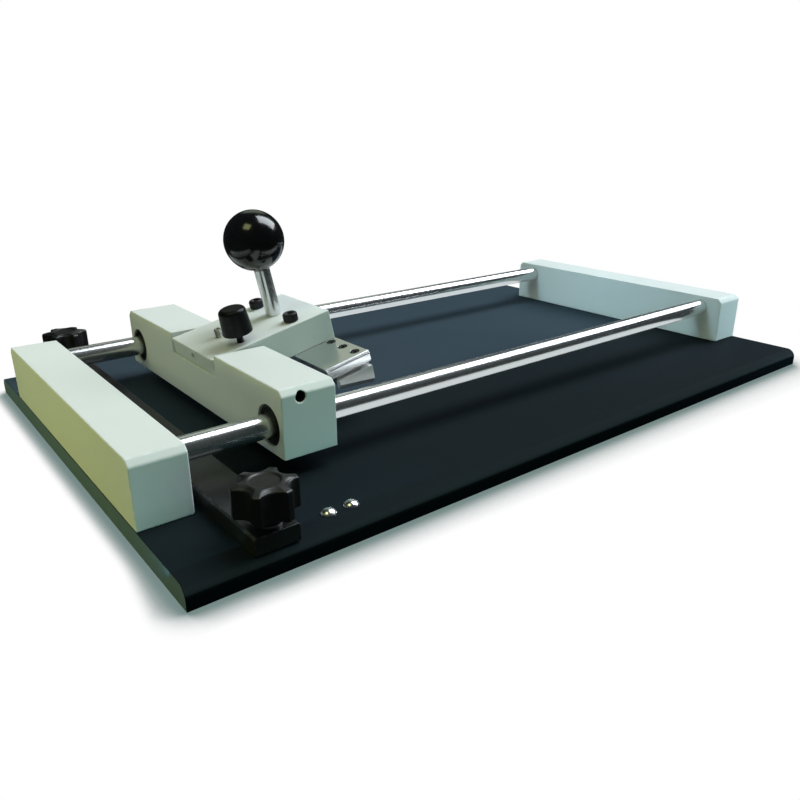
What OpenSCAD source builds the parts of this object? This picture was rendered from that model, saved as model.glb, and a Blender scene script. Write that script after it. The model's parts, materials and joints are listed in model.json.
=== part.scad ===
// Sample cutter: a bench machine that cuts strips from a sheet of film, paper or cloth.
// A carriage slides on two rods over a flat plate. A sprung lever arm on the carriage swings
// two blades down into the sheet, and a bar under two star knobs clamps the sheet's end.
// Millimetres, +Z up. The origin lies on the table under the middle of the plate.
// +X runs along the rods, away from the clamp bar, and -Y is the front.

/* [Plate and feet] */
// Length of the plate along the rods
plate_l = 476; // [440:1:600]
// Width of the plate, front to back
plate_w = 304; // [290:1:400]
// Thickness of the plate
plate_t = 11; // [10:0.5:20]
// Radius along the plate's two long top edges
plate_edge_r = 6; // [1:0.5:8]
// Diameter of a rubber foot
foot_d = 16; // [10:1:20]
// Thickness of a rubber foot
foot_t = 3; // [2:0.1:4]
// Height that a foot stands out of the plate's underside
foot_proud = 0.6; // [0.4:0.1:1.5]
// Distance of a foot's centre from the plate's end and side
foot_inset = 26; // [14:1:26]

/* [Stop studs] */
// Diameter of a domed stop stud
dome_d = 8; // [5:0.5:10]
// Height of the dome above the plate
dome_h = 2.4; // [1.5:0.1:3.5]
// Diameter of a stop stud's shank in the plate
dome_shank_d = 4; // [2:0.5:5]
// Length of this shank
dome_shank_l = 5.5; // [3:0.5:8]
// Distance of the first stop stud from the plate's left end
dome_x = 72; // [66:1:120]
// Distance between the two stop studs
dome_pitch = 12; // [11:1:40]
// Distance of the stop studs from the plate's front
dome_inset = 13.5; // [12:0.5:24]

/* [Rods and end blocks] */
// Diameter of a rod
rod_d = 12; // [8:1:16]
// Distance between the two rods
rod_spacing = 172; // [165:1:185]
// Height of the rods' axes above the plate
rod_rise = 24; // [22:0.5:40]
// Depth of a rod's seat in an end block
rod_seat = 18; // [10:1:22]
// Width of an end block along the rods
block_w = 26; // [26:1:40]
// Distance from a rod's axis to the end block's end
block_end = 17; // [12:1:20]
// Wall of an end block above a rod
block_cap = 3; // [2:0.5:8]
// Chamfer on the short top edges of the end blocks and of the carriage
end_chamfer = 3; // [0.5:0.5:4]
// Diameter of a screw that holds an end block
block_screw_d = 6; // [4:0.5:6]
// Thread length of such a screw in the block
block_screw_hold = 13; // [8:1:14]
// Distance of an end block's outer screws from its middle screw
block_screw_pitch = 68; // [40:1:72]
// Diameter of a grub screw that holds a rod
rod_grub_d = 5; // [3:0.5:6]

/* [Carriage] */
// Width of the carriage along the rods
carriage_w = 30; // [28:1:40]
// Height of the carriage
carriage_h = 35; // [32:0.5:45]
// Distance from a rod's axis to the carriage's end
carriage_end = 14; // [13:0.5:20]
// Distance from the left end block to the parked carriage
carriage_park = 47; // [30:1:200]
// Outer diameter of a linear bearing
bearing_od = 21; // [18:0.5:24]
// Wall of the carriage under a bearing
bearing_wall = 3.5; // [3:0.5:8]
// Depth of a bearing's end behind the carriage's side
bearing_recess = 1; // [0.5:0.1:2]
// Diameter of a grub screw that holds a bearing
bearing_grub_d = 4; // [3:0.5:6]
// Thickness of a bearing's seal ring
seal_t = 2; // [1:0.1:4]
// Radial width of a seal ring
seal_w = 2.8; // [1:0.1:2.8]

/* [Lever arm] */
// Distance of the pivot from the carriage's left side
pivot_inset = 10.6; // [9:0.1:12]
// Depth of the pivot under the carriage's top
pivot_drop = 4.8; // [4.6:0.1:7]
// Diameter of the pivot pin
pin_d = 5; // [4:0.1:5.2]
// Length of the pivot pin
pin_l = 92; // [75:1:110]
// Wall of a pivot bush
bush_wall = 0.8; // [0.6:0.1:1]
// Length of a pivot bush
bush_l = 10; // [5:1:15]
// Width of the arm, front to back
arm_w = 55; // [54:0.5:70]
// Gap between the arm and each side of its slot
arm_side_gap = 1.25; // [0.5:0.05:3]
// Reach of the arm from the pivot to its free end
arm_reach = 65.7; // [64:0.1:80]
// Distance from the pivot to the arm's heel
arm_heel = 10.4; // [7:0.1:10.4]
// Height of the arm's top above the pivot
arm_rise = 4.2; // [4.2:0.1:5]
// Thickness of the arm over the carriage
heel_t = 9.2; // [9.2:0.1:11]
// Thickness of the arm beyond the carriage
arm_t = 17.5; // [14:0.5:20]
// Angle of the raised arm
arm_raise = 12; // [8:0.5:14]
// Distance from the pivot to the lever stem
stem_reach = 44; // [44:0.5:52]
// Diameter of the lever stem
stem_d = 9; // [7:0.5:12]
// Diameter of the stem's two threaded spigots
spigot_d = 6; // [4:0.5:6.5]
// Length of the stem's spigot in the arm
spigot_l = 11; // [6:0.5:13]
// Diameter of the ball knob
ball_d = 34; // [25:1:45]
// Height of the ball's centre above the arm's top
ball_rise = 45; // [32:0.5:70]
// Length of the stem's spigot in the ball
ball_spigot = 15; // [8:0.5:16]
// Diameter of the screws that hold the blade holder to the arm
arm_screw_d = 5; // [3:0.5:6]
// Distance of these screws from the lever stem
arm_screw_offset = 20.5; // [12:0.5:22]
// Thread length of these screws in the blade holder
arm_screw_hold = 4.8; // [3:0.1:5]
// Diameter of the grub screw that locks the pivot pin in the arm
arm_grub_d = 3; // [2:0.5:4]
// Depth of this grub screw behind the arm's heel
arm_grub_recess = 0.6; // [0.2:0.1:2]

/* [Depth stop and arm spring] */
// Distance from the pivot to the depth screw
depth_reach = 11.4; // [10:0.1:13]
// Distance of the depth screw from the arm's front side
depth_edge = 8; // [7:0.5:13]
// Diameter of the depth screw
depth_screw_d = 4; // [3:0.5:5]
// Travel of the depth screw each way
depth_travel = 1; // [0.5:0.1:1]
// Largest diameter of the depth screw's cap
cap_d = 16.8; // [12:0.1:20]
// Smallest diameter of the cap, at its top
cap_top_d = 15.2; // [11:0.1:16]
// Height of the cap
cap_h = 14.5; // [10:0.5:20]
// Gap between the cap and the arm's top
cap_gap = 5.5; // [3:0.5:8]
// Radius around the cap's top
cap_edge_r = 2.5; // [0.5:0.5:4]
// Length of the depth screw in its cap
cap_seat = 8.7; // [5:0.1:9]
// Distance from the pivot to the arm spring and its screw
spring_reach = 7.6; // [7:0.1:8]
// Diameter of the arm spring's screw
spring_screw_d = 4; // [3:0.5:4]
// Height that the spring's screw stands above the arm
spring_screw_rise = 5; // [2:0.5:6]
// Height that the spring's screw stands out under the arm
spring_screw_tip = 1; // [0.5:0.1:1.2]
// Outer diameter of the arm spring
arm_spring_d = 7.5; // [6:0.5:8]
// Diameter of the arm spring's wire
arm_spring_wire = 0.9; // [0.5:0.1:1]
// Turns of the arm spring
arm_spring_turns = 6; // [4:1:7]
// Depth of the arm spring's pocket under the slot's floor
spring_pocket = 12; // [10:0.5:14]

/* [Blade holder and blades] */
// Length of the holder plate along the arm
holder_l = 29; // [29:0.5:36]
// Width of the holder plate, front to back
holder_w = 124; // [120:1:140]
// Thickness of the holder plate
holder_t = 6; // [5:0.5:10]
// Chamfer along the holder plate's front and back top edges
holder_chamfer = 1.4; // [0.4:0.1:2]
// Diameter of the screws that hold a blade block
holder_screw_d = 3; // [2:0.5:3]
// Distance between these screws
holder_screw_pitch = 12; // [9:0.5:13]
// Distance of the first of these screws from the holder's end
holder_screw_end = 7; // [6:0.5:9]
// Distance of these screws from the holder's free edge
holder_screw_edge = 5.4; // [4.5:0.1:8]
// Length of a blade along the arm
blade_l = 23; // [20:0.5:26]
// Thickness of a blade
blade_t = 3; // [2.5:0.5:4]
// Height of a blade at its cutting tip
blade_tip_h = 11.8; // [9:0.1:14]
// Height of a blade at its heel
blade_heel_h = 6.2; // [5.5:0.1:9]
// Gap between the holder plate and a blade
blade_gap = 3; // [1:0.1:3.5]
// Height of the ground bevel along a blade's edge
bevel_h = 3.4; // [1.5:0.1:3.5]
// Width of the flat that honing leaves along a blade's edge
edge_land = 0.1; // [0.05:0.05:0.3]
// Depth of a blade block behind its blade
blade_block_d = 33; // [32:0.5:36]
// Distance of a blade's cutting edge under its block
edge_clear = 2.5; // [1.5:0.1:2.5]
// Diameter of the screws that hold a blade
blade_screw_d = 2.5; // [2:0.1:2.6]
// Distance between the two screws of a blade
blade_screw_pitch = 6.5; // [6:0.5:7]
// Distance of a blade's first screw from the blade's heel
blade_screw_end = 7; // [6:0.5:8]
// Depth of a blade's screws under the blade's top
blade_screw_drop = 2.7; // [2.4:0.1:2.8]
// Thread length of a blade's screw in the blade
blade_screw_hold = 1.8; // [1:0.1:2]
// Height of the lowered blade's tip over the plate
tip_gap = 0.2; // [0.1:0.1:1]

/* [Clamp] */
// Width of the clamp bar
bar_w = 21; // [16:1:26]
// Thickness of the clamp bar
bar_t = 8; // [7:0.1:8]
// Gap between the left end block and the clamp bar
bar_gap = 4.5; // [1:0.5:8]
// Distance from the plate's side to the clamp bar's end
bar_end = 2; // [1:0.5:4]
// Chamfer along the clamp bar's top edges
bar_chamfer = 0.8; // [0.3:0.1:2]
// Distance of a clamp stud from the plate's side
stud_inset = 10.5; // [9:0.5:14]
// Diameter of a clamp stud
stud_d = 6; // [4:0.5:6.5]
// Depth of a clamp stud in the plate
stud_seat = 9; // [5:0.5:9]
// Height of a clamp stud above the washer
stud_rise = 12; // [8:0.5:13]
// Diameter across a star knob's lobes
knob_d = 28; // [24:0.5:30]
// Height of a star knob's head at its rim
knob_h = 12.5; // [11:0.5:16]
// Height of the head's crown above its rim
crown_h = 2; // [0.5:0.1:3]
// Diameter of the flat on top of the crown
crown_d = 13; // [8:0.5:16]
// Number of lobes on a star knob
lobes = 6; // [5:1:8]
// Angle of a star knob's first lobe
lobe_turn = 47; // [0:1:72]
// Depth of the hollows between the lobes
lobe_depth = 3.7; // [1:0.1:4.5]
// Radius of these hollows
hollow_r = 6.5; // [5:0.1:8]
// Diameter of a star knob's hub
hub_d = 14; // [13:0.5:16]
// Height of a star knob's hub
hub_h = 3.5; // [2:0.5:6]
// Wall of a star knob's threaded insert
insert_wall = 1.5; // [1:0.1:2]
// Room above a clamp stud in its knob
insert_room = 1; // [0.5:0.1:2]
// Diameter of a washer
washer_d = 13; // [12:0.5:15]
// Thickness of a washer
washer_t = 1.5; // [0.8:0.1:2.5]
// Outer diameter of a lift spring under the bar
lift_spring_d = 10.4; // [9.6:0.1:11]
// Diameter of a lift spring's wire
lift_spring_wire = 0.8; // [0.5:0.1:0.9]
// Turns of a lift spring
lift_spring_turns = 2.5; // [2:0.5:2.5]
// Depth of a lift spring's pocket in the bar
lift_pocket = 5; // [4.6:0.1:5.4]

/* [Fits] */
// Radial gap where one piece is fixed in another
fixed_fit = 0.02; // [0.01:0.01:0.05]
// Radial gap where a piece turns or slides on another
running_fit = 0.04; // [0.02:0.01:0.08]
// Radial gap around a screw's shank or head
screw_clear = 0.3; // [0.2:0.05:0.5]
// Gap between moving faces that pass or stop close together
face_gap = 0.3; // [0.2:0.05:0.5]
// Gap between a spring's end and the piece that it pushes
spring_gap = 0.15; // [0.1:0.05:0.3]

/* [Hidden] */
$fn = 64;
eps = 0.01;

// Colours
paint = [0.84, 0.86, 0.83];
satin_black = [0.09, 0.095, 0.10];
plastic_black = [0.05, 0.05, 0.055];
steel = [0.74, 0.75, 0.76];
dark_steel = [0.16, 0.16, 0.17];
bronze = [0.68, 0.52, 0.28];
rubber_black = [0.07, 0.07, 0.07];

// Heights
plate_top = foot_proud + plate_t;
rod_z = plate_top + rod_rise;
block_h = rod_rise + rod_d / 2 + block_cap;
carriage_z = rod_z - bearing_od / 2 - bearing_wall;
carriage_top = carriage_z + carriage_h;
pivot_z = carriage_top - pivot_drop;

// Places along the rods
block_face = plate_l / 2 - block_w;
carriage_x = -block_face + carriage_park;
pivot_x = carriage_x + pivot_inset;
bar_x = -block_face + bar_gap + bar_w / 2;

// Places across the rods
rod_y = rod_spacing / 2;
block_y = rod_y + block_end;
carriage_y = rod_y + carriage_end;
stud_y = plate_w / 2 - stud_inset;
holder_y = holder_w / 2;

// Screw proportions
head_ratio = 1.7;
head_d = function (d) d * head_ratio;
socket_ratio = 0.8;
socket_depth_ratio = 0.5;
grub_socket_ratio = 0.5;

// Lever arm: its own frame has the pivot at the origin and lies level
arm_under = heel_t - arm_rise;
arm_low = arm_rise - arm_t;
holder_low = arm_low - holder_t;
blade_top = holder_low - blade_gap;
blade_tip = [arm_reach - fixed_fit, blade_top - blade_tip_h];
blade_heel = [blade_tip.x - blade_l, blade_top - blade_heel_h];
edge_angle = atan2(blade_tip.y - blade_heel.y, blade_l);

// Angle below level at which the blade's tip reaches the plate
tip_reach = norm(blade_tip);
arm_dip = asin((pivot_z - plate_top - tip_gap) / tip_reach) - atan2(-blade_tip.y, blade_tip.x);
side_reach = carriage_w - pivot_inset;

// The slot's floor clears the raised heel and the lowered underside
heel_drop = arm_heel * sin(arm_raise) + arm_under * cos(arm_raise);
side_drop = side_reach * tan(arm_dip) + arm_under / cos(arm_dip);
floor_drop = max(heel_drop, side_drop) + face_gap;
slot_y = arm_w / 2 + arm_side_gap;
arm_step = (side_reach + 2 * face_gap - arm_low * sin(arm_dip)) / cos(arm_dip) + face_gap;
bush_d = pin_d + 2 * running_fit + 2 * bush_wall;

// Depth screw: fully down, it stops just above the slot's floor when the arm is lowered
depth_tip = (floor_drop - face_gap - depth_reach * sin(arm_dip)) / cos(arm_dip) - depth_travel;
depth_y = depth_edge - arm_w / 2;
cap_low = arm_rise + cap_gap;

// Arm spring: it stands in its pocket and pushes on the tip of its screw
spring_tip = arm_under + spring_screw_tip;
spring_x = pivot_x + spring_reach * cos(arm_raise) + spring_tip * sin(arm_raise);
spring_tip_drop = spring_tip * cos(arm_raise) - (spring_reach - spring_screw_d / 2) * sin(arm_raise);
spring_low = pivot_z - floor_drop - spring_pocket;
spring_high = pivot_z - spring_tip_drop - spring_gap;

// Stem and ball
ball_w = arm_rise + ball_rise;
stem_top = ball_w - sqrt(pow(ball_d / 2, 2) - pow(stem_d / 2, 2));

// Clamp
bar_top = plate_top + bar_t;
washer_top = bar_top + washer_t;
knob_low = washer_top;
insert_d = stud_d + 2 * running_fit + 2 * insert_wall;
insert_h = stud_rise + insert_room;

// Helical wire: rings of a tube along a coil that stands on z = 0
rings_per_turn = 8;
sides = 6;
coil_centre = function (r, rise, turns, i)
    let (a = 360 * i / rings_per_turn)
    [r * cos(a), r * sin(a), rise * i / (turns * rings_per_turn)];
coil_ring = function (r, wire, rise, turns, i)
    let (
        a = 360 * i / rings_per_turn,
        slope = atan2(rise / turns, 2 * PI * r),
        out = [cos(a), sin(a), 0],
        up = [sin(a) * sin(slope), -cos(a) * sin(slope), cos(slope)],
        c = coil_centre(r, rise, turns, i)
    )
    [for (k = [0 : sides - 1]) c + wire / 2 * (cos(360 * k / sides) * out + sin(360 * k / sides) * up)];
coil_gap = function (r, wire, rise, turns)
    let (n = turns * rings_per_turn, skip = rings_per_turn / 2)
    min([for (i = [0 : n - skip - 1], j = [i + skip : n])
        norm(coil_centre(r, rise, turns, i) - coil_centre(r, rise, turns, j))]) - wire;

module coil(outer_d, wire, height, turns) {
    r = (outer_d - wire) / 2;
    rise = height - wire;
    n = turns * rings_per_turn;
    points = [for (i = [0 : n]) each coil_ring(r, wire, rise, turns, i)];
    walls = [for (i = [0 : n - 1], k = [0 : sides - 1])
        let (a = i * sides + k, b = i * sides + (k + 1) % sides)
        each [[a, b, a + sides], [b, b + sides, a + sides]]];
    first_cap = [for (k = [1 : sides - 2]) [0, k + 1, k]];
    last_cap = [for (k = [1 : sides - 2]) [n * sides, n * sides + k, n * sides + k + 1]];
    translate([0, 0, wire / 2]) polyhedron(points, concat(walls, first_cap, last_cap));
}

// Extrusion of a Y-Z outline along X from x0 to x1
module along_x(x0, x1) {
    translate([x0, 0, 0]) rotate([90, 0, 90]) linear_extrude(x1 - x0) children();
}

// Extrusion of an X-Z outline along Y from y0 to y1
module along_y(y0, y1) {
    translate([0, y1, 0]) rotate([90, 0, 0]) linear_extrude(y1 - y0) children();
}

// Round bar along X from x0 to x1
module round_x(d, x0, x1) {
    translate([x0, 0, 0]) rotate([0, 90, 0]) cylinder(d = d, h = x1 - x0);
}

// Round bar along Y from y0 to y1
module round_y(d, y0, y1) {
    translate([0, y0, 0]) rotate([-90, 0, 0]) cylinder(d = d, h = y1 - y0);
}

// Round bar along Z from z0 to z1
module round_z(d, z0, z1) {
    translate([0, 0, z0]) cylinder(d = d, h = z1 - z0);
}

// Socket head screw: the shank points down from z = 0 and the head stands on it
module cap_screw(d, shank) {
    round_z(d, -shank, eps);
    difference() {
        cylinder(d = head_d(d), h = d);
        translate([0, 0, d * (1 - socket_depth_ratio)])
            cylinder(d = d * socket_ratio, h = d, $fn = 6);
    }
}

// Grub screw from z0 up to z1 with its socket at the lower end
module grub_screw(d, z0, z1) {
    difference() {
        round_z(d, z0, z1);
        translate([0, 0, z0 - eps]) cylinder(d = d * grub_socket_ratio, h = (z1 - z0) * socket_depth_ratio, $fn = 6);
    }
}

// Block outline across the rods with its two top corners chamfered
module chamfered_outline(half_w, z0, z1, chamfer) {
    polygon([
        [-half_w, z0], [half_w, z0], [half_w, z1 - chamfer], [half_w - chamfer, z1],
        [chamfer - half_w, z1], [-half_w, z1 - chamfer]
    ]);
}

// Frame of the raised arm
module on_arm() {
    translate([pivot_x, 0, pivot_z]) rotate([0, -arm_raise, 0]) children();
}

module at_feet() {
    for (sx = [-1, 1], sy = [-1, 1])
        translate([sx * (plate_l / 2 - foot_inset), sy * (plate_w / 2 - foot_inset), 0]) children();
}

module at_stop_studs() {
    for (i = [0, 1])
        translate([dome_x + i * dome_pitch - plate_l / 2, dome_inset - plate_w / 2, plate_top]) children();
}

module at_block_screws() {
    for (sx = [-1, 1], i = [-1, 0, 1])
        translate([sx * (plate_l - block_w) / 2, i * block_screw_pitch, foot_proud]) children();
}

module at_rod_grubs() {
    for (sx = [-1, 1], sy = [-1, 1])
        translate([sx * (block_face + rod_seat / 2), sy * rod_y, 0]) children();
}

module at_clamp_studs() {
    for (sy = [-1, 1]) translate([bar_x, sy * stud_y, 0]) children();
}

module base_plate() {
    block_head_room = block_screw_d + 2 * screw_clear;
    color(satin_black)
    difference() {
        along_x(-plate_l / 2, plate_l / 2) plate_outline();
        at_feet() round_z(foot_d + 2 * fixed_fit, foot_proud - eps, foot_t);
        at_stop_studs() round_z(dome_shank_d + 2 * fixed_fit, -dome_shank_l - fixed_fit, eps);
        at_block_screws() {
            round_z(block_screw_d + 2 * screw_clear, -eps, plate_t + eps);
            round_z(head_d(block_screw_d) + 2 * screw_clear, -eps, block_head_room);
        }
        at_clamp_studs() round_z(stud_d + 2 * fixed_fit, plate_top - stud_seat, plate_top + eps);
    }
}

module plate_outline() {
    half_w = plate_w / 2;
    r = plate_edge_r;
    translate([-half_w, foot_proud]) square([plate_w, plate_t - r]);
    translate([r - half_w, foot_proud]) square([plate_w - 2 * r, plate_t]);
    intersection() {
        for (s = [-1, 1]) translate([s * (half_w - r), plate_top - r]) circle(r = r);
        translate([-half_w, plate_top - r]) square([plate_w, r]);
    }
}

module rubber_feet() {
    color(rubber_black) at_feet() round_z(foot_d, 0, foot_t);
}

module stop_studs() {
    dome_r = (pow(dome_d / 2, 2) + pow(dome_h, 2)) / (2 * dome_h);
    color(steel)
    at_stop_studs() {
        round_z(dome_shank_d, -dome_shank_l, eps);
        intersection() {
            translate([0, 0, dome_h - dome_r]) sphere(r = dome_r);
            cylinder(d = dome_d, h = dome_h);
        }
    }
}

// End block on one end of the plate: side is -1 for the left and 1 for the right
module end_block(side) {
    color(paint)
    difference() {
        along_x(side < 0 ? -plate_l / 2 : block_face, side < 0 ? -block_face : plate_l / 2)
            chamfered_outline(block_y, plate_top, plate_top + block_h, end_chamfer);
        for (sy = [-1, 1])
            translate([0, sy * rod_y, rod_z])
                round_x(rod_d + 2 * fixed_fit, -block_face - rod_seat, block_face + rod_seat);
        at_block_screws()
            round_z(block_screw_d + 2 * fixed_fit, 0, plate_t + block_screw_hold + face_gap);
        at_rod_grubs() round_z(rod_grub_d + 2 * fixed_fit, plate_top - eps, rod_z);
    }
}

module left_end_block() {
    end_block(-1);
}

module right_end_block() {
    end_block(1);
}

module rod(side) {
    reach = block_face + rod_seat - fixed_fit;
    color(steel) translate([0, side * rod_y, rod_z]) round_x(rod_d, -reach, reach);
}

module front_rod() {
    rod(-1);
}

module rear_rod() {
    rod(1);
}

module end_block_screws() {
    head_seat = block_screw_d + 2 * screw_clear;
    color(dark_steel)
    at_block_screws()
        translate([0, 0, head_seat])
            rotate([180, 0, 0]) cap_screw(block_screw_d, plate_t - head_seat + block_screw_hold);
}

module rod_grub_screws() {
    color(dark_steel) at_rod_grubs() grub_screw(rod_grub_d, plate_top, rod_z - rod_d / 2 - fixed_fit);
}

module clamp_studs() {
    color(steel) at_clamp_studs() round_z(stud_d, plate_top - stud_seat, washer_top + stud_rise);
}

module clamp_springs() {
    spring_h = lift_pocket - spring_gap;
    echo(clamp_spring_gap = coil_gap(
        (lift_spring_d - lift_spring_wire) / 2, lift_spring_wire, spring_h - lift_spring_wire, lift_spring_turns));
    color(steel)
    at_clamp_studs()
        translate([0, 0, plate_top]) coil(lift_spring_d, lift_spring_wire, spring_h, lift_spring_turns);
}

module clamp_bar() {
    half_w = bar_w / 2;
    half_l = plate_w / 2 - bar_end;
    color(satin_black)
    difference() {
        translate([bar_x, 0, 0])
            along_y(-half_l, half_l) chamfered_outline(half_w, plate_top, bar_top, bar_chamfer);
        at_clamp_studs() {
            round_z(stud_d + 2 * running_fit, plate_top - eps, bar_top + eps);
            round_z(lift_spring_d + 2 * screw_clear, plate_top - eps, plate_top + lift_pocket);
        }
    }
}

module clamp_washers() {
    color(steel)
    at_clamp_studs()
        difference() {
            round_z(washer_d, bar_top, washer_top);
            round_z(stud_d + 2 * screw_clear, bar_top - eps, washer_top + eps);
        }
}

// Round outline with a hollow between each two lobes
module star_outline() {
    difference() {
        circle(d = knob_d);
        for (i = [1 : lobes])
            rotate(lobe_turn + 360 * (i - 1 / 2) / lobes)
                translate([knob_d / 2 - lobe_depth + hollow_r, 0]) circle(r = hollow_r);
    }
}

// Star with a crowned top, standing on z = 0
module star_head() {
    r = knob_d / 2 + eps;
    top = knob_h + crown_h;
    intersection() {
        linear_extrude(top) star_outline();
        rotate_extrude() polygon([[0, 0], [r, 0], [r, knob_h], [crown_d / 2, top], [0, top]]);
    }
}

module star_knob(side) {
    color(plastic_black)
    translate([bar_x, side * stud_y, knob_low])
        difference() {
            union() {
                round_z(hub_d, 0, hub_h + eps);
                translate([0, 0, hub_h]) star_head();
            }
            round_z(insert_d + 2 * fixed_fit, -eps, insert_h);
        }
}

module knob_insert(side) {
    color(bronze)
    translate([bar_x, side * stud_y, knob_low])
        difference() {
            round_z(insert_d, 0, insert_h);
            round_z(stud_d + 2 * running_fit, -eps, insert_h + eps);
        }
}

module front_clamp_knob() {
    star_knob(-1);
}

module rear_clamp_knob() {
    star_knob(1);
}

module front_knob_insert() {
    knob_insert(-1);
}

module rear_knob_insert() {
    knob_insert(1);
}

module at_bearings() {
    for (sy = [-1, 1]) translate([0, sy * rod_y, rod_z]) children();
}

module carriage_beam() {
    right = carriage_x + carriage_w;
    color(paint)
    difference() {
        along_x(carriage_x, right) chamfered_outline(carriage_y, carriage_z, carriage_top, end_chamfer);
        at_bearings() round_x(bearing_od + 2 * fixed_fit, carriage_x - eps, right + eps);
        translate([carriage_x - eps, -slot_y, pivot_z - floor_drop])
            cube([carriage_w + 2 * eps, 2 * slot_y, pivot_drop + floor_drop + eps]);
        translate([pivot_x, 0, pivot_z]) {
            round_y(pin_d + 2 * screw_clear, -carriage_y - eps, pin_l / 2 + face_gap);
            round_y(bush_d + 2 * fixed_fit, -slot_y - bush_l, slot_y + bush_l);
        }
        translate([spring_x, 0, 0])
            round_z(arm_spring_d + 2 * screw_clear, spring_low, pivot_z);
        at_bearing_grubs() round_z(bearing_grub_d + 2 * fixed_fit, -eps, bearing_wall + bearing_od / 2);
    }
}

// Sleeve with a seat for a seal ring at each end
module bearing(side) {
    x0 = carriage_x + bearing_recess;
    x1 = carriage_x + carriage_w - bearing_recess;
    seal_d = rod_d + 2 * seal_w + 2 * fixed_fit;
    color(dark_steel)
    translate([0, side * rod_y, rod_z])
        difference() {
            round_x(bearing_od, x0, x1);
            round_x(rod_d + 2 * running_fit, x0 - eps, x1 + eps);
            round_x(seal_d, x0 - eps, x0 + seal_t);
            round_x(seal_d, x1 - seal_t, x1 + eps);
        }
}

module front_bearing() {
    bearing(-1);
}

module rear_bearing() {
    bearing(1);
}

module bearing_seals() {
    x0 = carriage_x + bearing_recess;
    x1 = carriage_x + carriage_w - bearing_recess - seal_t;
    color(rubber_black)
    at_bearings()
        for (x = [x0, x1])
            difference() {
                round_x(rod_d + 2 * seal_w, x, x + seal_t);
                round_x(rod_d + 2 * running_fit, x - eps, x + seal_t + eps);
            }
}

module at_bearing_grubs() {
    for (sy = [-1, 1]) translate([carriage_x + carriage_w / 2, sy * rod_y, carriage_z]) children();
}

module bearing_grub_screws() {
    color(dark_steel) at_bearing_grubs() grub_screw(bearing_grub_d, 0, bearing_wall - fixed_fit);
}

// Bushes that line the pin's holes on both sides of the arm's slot
module pivot_bushes() {
    color(bronze)
    translate([pivot_x, 0, pivot_z])
        for (sy = [-1, 1])
            translate([0, sy * (slot_y + bush_l / 2), 0])
                difference() {
                    round_y(bush_d, -bush_l / 2, bush_l / 2);
                    round_y(pin_d + 2 * running_fit, -bush_l, bush_l);
                }
}

module arm_spring() {
    spring_h = spring_high - spring_low;
    echo(arm_spring_gap = coil_gap(
        (arm_spring_d - arm_spring_wire) / 2, arm_spring_wire, spring_h - arm_spring_wire, arm_spring_turns));
    color(steel)
    translate([spring_x, 0, spring_low]) coil(arm_spring_d, arm_spring_wire, spring_h, arm_spring_turns);
}

module at_arm_screws() {
    for (sy = [-1, 1]) translate([stem_reach, sy * arm_screw_offset, 0]) children();
}

module lever_arm() {
    color(paint)
    on_arm()
        difference() {
            union() {
                translate([-arm_heel, -arm_w / 2, -arm_under])
                    cube([arm_heel + arm_reach, arm_w, heel_t]);
                translate([arm_step, -arm_w / 2, arm_low])
                    cube([arm_reach - arm_step, arm_w, arm_t]);
            }
            round_y(pin_d + 2 * fixed_fit, -arm_w, arm_w);
            round_x(arm_grub_d + 2 * fixed_fit, -arm_heel - eps, 0);
            translate([stem_reach, 0, 0]) round_z(spigot_d + 2 * fixed_fit, arm_rise - spigot_l, arm_rise + eps);
            at_arm_screws() round_z(arm_screw_d + 2 * screw_clear, arm_low - eps, arm_rise + eps);
            translate([spring_reach, 0, 0])
                round_z(spring_screw_d + 2 * fixed_fit, -heel_t, heel_t);
            translate([depth_reach, depth_y, 0])
                round_z(depth_screw_d + 2 * running_fit, -heel_t, heel_t);
        }
}

module pivot_pin() {
    color(steel) on_arm() round_y(pin_d, -pin_l / 2, pin_l / 2);
}

module arm_grub_screw() {
    color(dark_steel)
    on_arm() rotate([0, 90, 0]) grub_screw(arm_grub_d, arm_grub_recess - arm_heel, -pin_d / 2 - fixed_fit);
}

module lever_stem() {
    color(steel)
    on_arm()
        translate([stem_reach, 0, 0]) {
            round_z(spigot_d, arm_rise - spigot_l + fixed_fit, arm_rise + eps);
            round_z(stem_d, arm_rise, stem_top);
            round_z(spigot_d, stem_top - eps, stem_top + ball_spigot - fixed_fit);
        }
}

module ball_knob() {
    color(plastic_black)
    on_arm()
        translate([stem_reach, 0, 0])
            difference() {
                translate([0, 0, ball_w]) sphere(d = ball_d, $fn = 96);
                round_z(ball_d, arm_rise, stem_top);
                round_z(spigot_d + 2 * fixed_fit, arm_rise, stem_top + ball_spigot);
            }
}

module arm_screws() {
    color(dark_steel)
    on_arm()
        at_arm_screws()
            translate([0, 0, arm_rise]) cap_screw(arm_screw_d, arm_t + arm_screw_hold);
}

module spring_screw() {
    color(steel)
    on_arm()
        translate([spring_reach, 0, 0])
            difference() {
                round_z(spring_screw_d, -spring_tip, arm_rise + spring_screw_rise);
                translate([0, 0, arm_rise + spring_screw_rise - spring_screw_d * socket_depth_ratio])
                    cylinder(d = spring_screw_d * grub_socket_ratio, h = spring_screw_d, $fn = 6);
            }
}

module at_depth_screw() {
    on_arm() translate([depth_reach, depth_y, 0]) children();
}

module depth_screw() {
    color(dark_steel) at_depth_screw() round_z(depth_screw_d, -depth_tip, cap_low + cap_seat - fixed_fit);
}

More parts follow.
